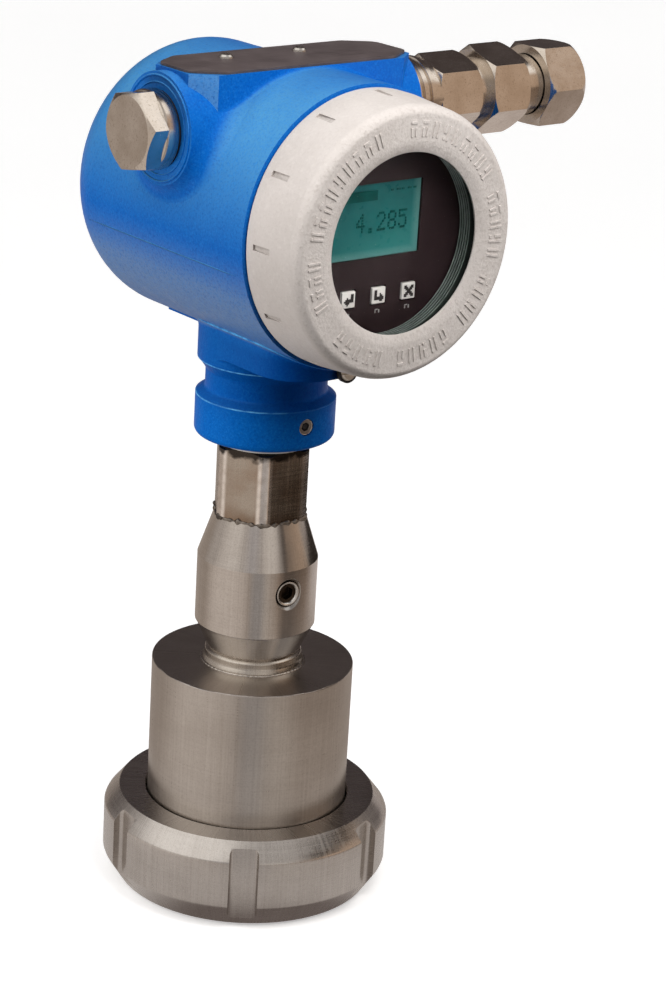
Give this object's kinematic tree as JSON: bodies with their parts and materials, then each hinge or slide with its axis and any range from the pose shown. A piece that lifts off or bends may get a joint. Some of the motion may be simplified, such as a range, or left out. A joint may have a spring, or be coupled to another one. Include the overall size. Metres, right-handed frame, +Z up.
{
  "type": "remote seal pressure transmitter",
  "caption": "Pressure transmitter with a blue cast head, white window cover, cable gland and a slotted union nut on a steel diaphragm seal.",
  "frame": {"origin": "on the seal axis, in the plane of the seal's foot", "axes": "+Z up along the seal axis, window cover facing -Y, gland on +X, blanking plug on -X"},
  "size_m": [0.1709, 0.1177, 0.2698],
  "materials": {
    "cast_blue": "blue paint with a fine orange-peel surface over cast aluminium",
    "cover_white": "warm white paint with a fine cast texture",
    "turned_steel": "turned stainless steel, satin",
    "welded_steel": "stainless steel with heat tint at the weld",
    "plated_nickel": "nickel plated brass, satin",
    "screw_steel": "bright steel screws",
    "plate_dark": "dark brown-black anodised sheet",
    "black_rubber": "matt black seal rubber",
    "black_plastic": "fine-grained black moulding",
    "clear_glass": "clear toughened glass",
    "lcd_teal": "liquid crystal panel under a thin clear sheet",
    "key_grey": "pale moulded key caps",
    "board_green": "circuit board with solder mask",
    "ring_metal": "turned aluminium",
    "ribbon_film": "amber film"
  },
  "bodies": {
    "seal": {"seal_body": "turned_steel", "diaphragm": "turned_steel", "weld_neck": "welded_steel", "sensor_body": "turned_steel", "fill_screw": "screw_steel", "sensor_cell": "turned_steel", "cell_oring": "black_rubber", "cell_lock_ring": "ring_metal", "sensor_hex": "welded_steel"},
    "nut": {"union_nut": "turned_steel"},
    "head": {"housing": "cast_blue", "nameplate": "plate_dark", "nameplate_screws": "screw_steel", "neck_set_screw": "screw_steel", "ground_washer": "black_plastic", "ground_screw": "screw_steel", "plug_gasket": "black_rubber", "stop_plug": "plated_nickel", "gland_gasket": "black_rubber", "gland_entry_body": "plated_nickel", "gland_middle_body": "plated_nickel", "gland_seal": "black_rubber", "display_face": "black_plastic", "lcd_panel": "lcd_teal", "display_board": "board_green", "main_board": "board_green", "display_posts": "ring_metal", "terminal_block": "black_plastic", "terminal_screws": "screw_steel", "sensor_ribbon": "ribbon_film"},
    "window": {"window_glass": "clear_glass", "window_gasket": "black_rubber"},
    "cover": {"front_cover": "cover_white", "cover_oring": "black_rubber", "glass_retaining_ring": "ring_metal"},
    "gland_clamp": {"gland_clamp_ring": "plated_nickel"},
    "gland_cap": {"gland_cap_nut": "plated_nickel"},
    "left_key": {"key_left": "key_grey"},
    "middle_key": {"key_middle": "key_grey"},
    "right_key": {"key_right": "key_grey"}
  },
  "joints": [
    {"name": "nut_turn", "type": "hinge", "parent": "seal", "child": "nut", "pos_m": [0, 0, 0.015], "axis": [0, 0, 1], "continuous": true},
    {"name": "head_swivel", "type": "hinge", "parent": "seal", "child": "head", "pos_m": [0, 0, 0.158], "axis": [0, 0, 1], "range_deg": [-180, 180]},
    {"name": "cover_travel", "type": "slide", "parent": "head", "child": "window", "axis": [0, -1, 0], "range_m": [0, 0.01201]},
    {"name": "cover_turn", "type": "hinge", "parent": "window", "child": "cover", "pos_m": [0, -0.05, 0.2245], "axis": [0, -1, 0], "range_deg": [0, 2160]},
    {"name": "gland_cap_travel", "type": "slide", "parent": "head", "child": "gland_clamp", "axis": [1, 0, 0], "range_m": [0, 0.00451]},
    {"name": "gland_cap_turn", "type": "hinge", "parent": "gland_clamp", "child": "gland_cap", "pos_m": [0.107, 0, 0.2516], "axis": [1, 0, 0], "range_deg": [0, 1080]},
    {"name": "left_key_press", "type": "slide", "parent": "head", "child": "left_key", "axis": [0, 1, 0], "range_m": [0, 0.0006], "stiffness_N_per_m": 200},
    {"name": "middle_key_press", "type": "slide", "parent": "head", "child": "middle_key", "axis": [0, 1, 0], "range_m": [0, 0.0006], "stiffness_N_per_m": 200},
    {"name": "right_key_press", "type": "slide", "parent": "head", "child": "right_key", "axis": [0, 1, 0], "range_m": [0, 0.0006], "stiffness_N_per_m": 200}
  ],
  "couplings": [
    {"joint": "cover_travel", "follows": "cover_turn", "m_per_rad": 0.00031831},
    {"joint": "gland_cap_travel", "follows": "gland_cap_turn", "m_per_rad": 0.00023873}
  ]
}
